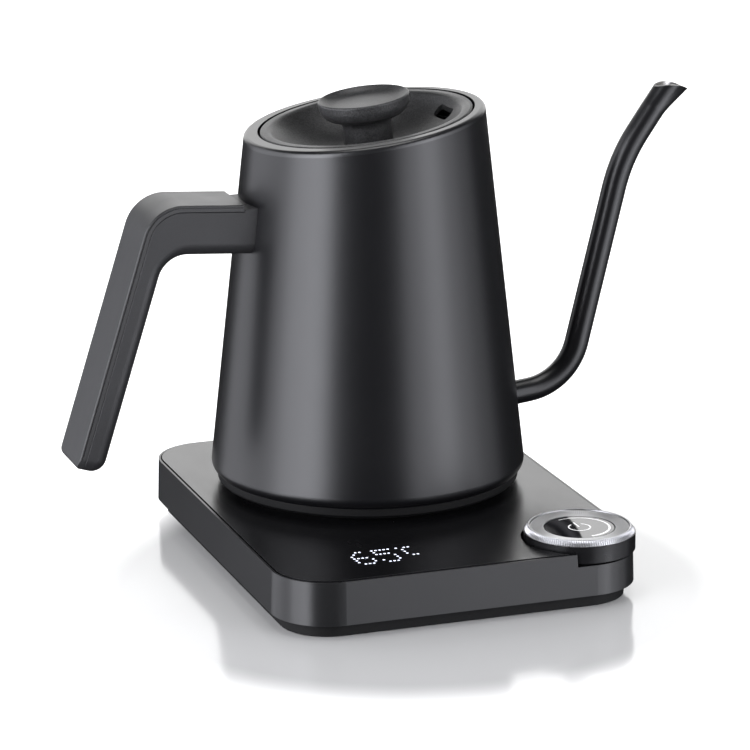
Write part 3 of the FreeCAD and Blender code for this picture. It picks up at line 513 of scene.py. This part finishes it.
def read_out(material):
    """Dot display shining through the top plate."""
    for name, pattern, left in BLOCKS:
        verts = []
        faces = []
        for row, line in enumerate(pattern):
            down = row * DOT_ROW
            for column, mark in enumerate(line):
                if mark == "#":
                    x = AXIS.x + left + column * DOT_COLUMN + down * DOT_SLANT
                    add_dot(verts, faces, x, FIRST_ROW - down)
        piece = make_piece(name, verts, faces, material, "base")


def add_dot(verts, faces, x, y):
    """Small domed disc on the plate."""
    first = len(verts)
    top = first + (len(DOT_RINGS) - 1) * DOT_SIDES
    for radius, height in DOT_RINGS:
        for i in range(DOT_SIDES):
            dx, dy = polar(radius, 2 * math.pi * i / DOT_SIDES)
            verts.append((x + dx, y + dy, PLATE_TOP + height))
    for low in range(first, top, DOT_SIDES):
        faces += band(low, low + DOT_SIDES, DOT_SIDES)
    faces.append([top + i for i in range(DOT_SIDES)])
    faces.append([first + i for i in reversed(range(DOT_SIDES))])


# ---- studio -------------------------------------------------------------------------------
def place_camera():
    """Camera at the photograph's viewpoint."""
    data = bpy.data.cameras.new("camera")
    data.lens = CAMERA_LENS
    data.sensor_width = 36.0
    data.clip_start = 0.05
    data.clip_end = 50.0
    camera = bpy.data.objects.new("camera", data)
    bpy.context.scene.collection.objects.link(camera)
    back = (CAMERA_PLACE - CAMERA_TARGET).normalized()
    right = Vector((-back.y, back.x, 0.0)).normalized()
    up = back.cross(right)
    axes = Matrix((right, up, back)).transposed()
    roll = Matrix.Rotation(CAMERA_ROLL, 4, "Z")
    camera.matrix_world = Matrix.Translation(CAMERA_PLACE) @ axes.to_4x4() @ roll
    bpy.context.scene.camera = camera


# The floor is grey out to the first radius about its middle and glows white from the second.
FLOOR_MIDDLE = (-0.015, -0.045, 0.0)
GREY_RADIUS = 0.11
WHITE_RADIUS = 0.15
# Radius and height of the floor's rings, as it sweeps up into a wall far from the object.
FLOOR_SECTION = [(0.4, 0.0), (2.0, 0.0), (6.0, 0.0), (7.2, 0.12), (8.1, 0.54), (8.7, 1.35),
                 (9.0, 2.7), (9.0, 9.0)]
FLOOR_SIDES = 96


def floor_finish():
    """Pale gloss sheet under the object that gives way to an evenly lit white round it."""
    finish = Finish("studio_floor", (0.46, 0.46, 0.46), 0.12, specular=1.0)
    reach = finish.node("ShaderNodeVectorMath", operation="LENGTH")
    finish.link(finish.stretched((1.0, 1.0, 0.0), FLOOR_MIDDLE), reach.inputs[0])
    fade = finish.node("ShaderNodeMapRange", interpolation_type="SMOOTHSTEP")
    fade.inputs["From Min"].default_value = GREY_RADIUS
    fade.inputs["From Max"].default_value = WHITE_RADIUS
    finish.link(reach.outputs["Value"], fade.inputs["Value"])
    white = fade.outputs[0]
    gloss = finish.combine("SUBTRACT", 1.0, white)
    finish.set("Emission Color", (1.0, 1.0, 1.0, 1.0))
    finish.link(white, finish.shader.inputs["Emission Strength"])
    finish.link(gloss, finish.shader.inputs["Specular IOR Level"])
    return finish.material


def pale_floor():
    """Round floor with its sweep, kept out of reflections."""
    verts = [(0.0, 0.0, 0.0)]
    for radius, height in FLOOR_SECTION:
        for i in range(FLOOR_SIDES):
            x, y = polar(radius, 2 * math.pi * i / FLOOR_SIDES)
            verts.append((x, y, height))
    faces = [(0, 1 + i, 1 + (i + 1) % FLOOR_SIDES) for i in range(FLOOR_SIDES)]
    for level in range(len(FLOOR_SECTION) - 1):
        low = 1 + level * FLOOR_SIDES
        faces += band(low + FLOOR_SIDES, low, FLOOR_SIDES)
    mesh = bpy.data.meshes.new("studio_floor")
    mesh.from_pydata(verts, [], faces)
    mesh.materials.append(floor_finish())
    mesh.shade_smooth()
    floor = bpy.data.objects.new("studio_floor", mesh)
    bpy.context.scene.collection.objects.link(floor)
    floor.visible_glossy = False
    floor.visible_shadow = False


# Tall strip lights standing round the object: bearing to the right of the camera, and strength.
STRIPS = [(-120, 4.7), (-100, 6.4), (-80, 6.2), (-60, 17.1), (-40, 22.1), (40, 8.5), (60, 15.3),
          (80, 6.2), (100, 2.5)]
WHITE = (1.0, 1.0, 1.0)
COOL_WHITE = (0.975, 0.985, 1.05)
LIGHT_AIM = Vector((0.0, 0.0, 0.10))
AMBIENT = 0.02


def softbox(name, bearing, distance, height, size, strength, colour=WHITE):
    """Area light aimed at the object; the bearing is in degrees to the right of the camera."""
    data = bpy.data.lights.new(name, "AREA")
    data.color = colour
    data.shape = "RECTANGLE"
    data.size = size[0]
    data.size_y = size[1]
    data.energy = strength * size[0] * size[1]
    light = bpy.data.objects.new(name, data)
    bpy.context.scene.collection.objects.link(light)
    turn = math.atan2(CAMERA_PLACE.y, CAMERA_PLACE.x) + math.radians(bearing)
    light.location = (distance * math.cos(turn), distance * math.sin(turn), height)
    aim = LIGHT_AIM - light.location
    light.rotation_mode = "QUATERNION"
    light.rotation_quaternion = aim.to_track_quat("-Z", "Y")
    light.visible_camera = False


def studio_light():
    """Faint even surroundings, strip lights, and a large box behind and another overhead."""
    world = bpy.data.worlds.new("studio")
    world.use_nodes = True
    background = world.node_tree.nodes["Background"]
    background.inputs["Color"].default_value = (*WHITE, 1.0)
    background.inputs["Strength"].default_value = AMBIENT
    bpy.context.scene.world = world
    for bearing, strength in STRIPS:
        softbox("strip_light", bearing, distance=1.25, height=0.20, size=(0.44, 1.4),
                strength=strength, colour=COOL_WHITE)
    softbox("rear_box", bearing=180, distance=1.40, height=0.50, size=(1.8, 1.0), strength=6.3)
    softbox("top_box", bearing=0, distance=0.01, height=1.50, size=(0.8, 0.8), strength=12.0)
    bpy.context.scene.view_settings.view_transform = "Standard"


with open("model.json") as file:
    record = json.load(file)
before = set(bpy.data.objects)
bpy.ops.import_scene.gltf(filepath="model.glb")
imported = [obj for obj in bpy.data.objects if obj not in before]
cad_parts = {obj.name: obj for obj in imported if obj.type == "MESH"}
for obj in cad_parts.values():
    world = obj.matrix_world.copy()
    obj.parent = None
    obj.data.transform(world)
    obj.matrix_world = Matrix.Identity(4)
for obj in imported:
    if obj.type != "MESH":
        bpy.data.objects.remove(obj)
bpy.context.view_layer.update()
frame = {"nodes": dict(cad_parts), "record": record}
slot_materials = make_materials()
dress_cad(frame, slot_materials)
knurled_dial_ring(slot_materials["dial_aluminium"])
coil_spring(slot_materials["screw_steel"])
button_marks(printed_white())
read_out(lit_dots())
pale_floor()
studio_light()
place_camera()
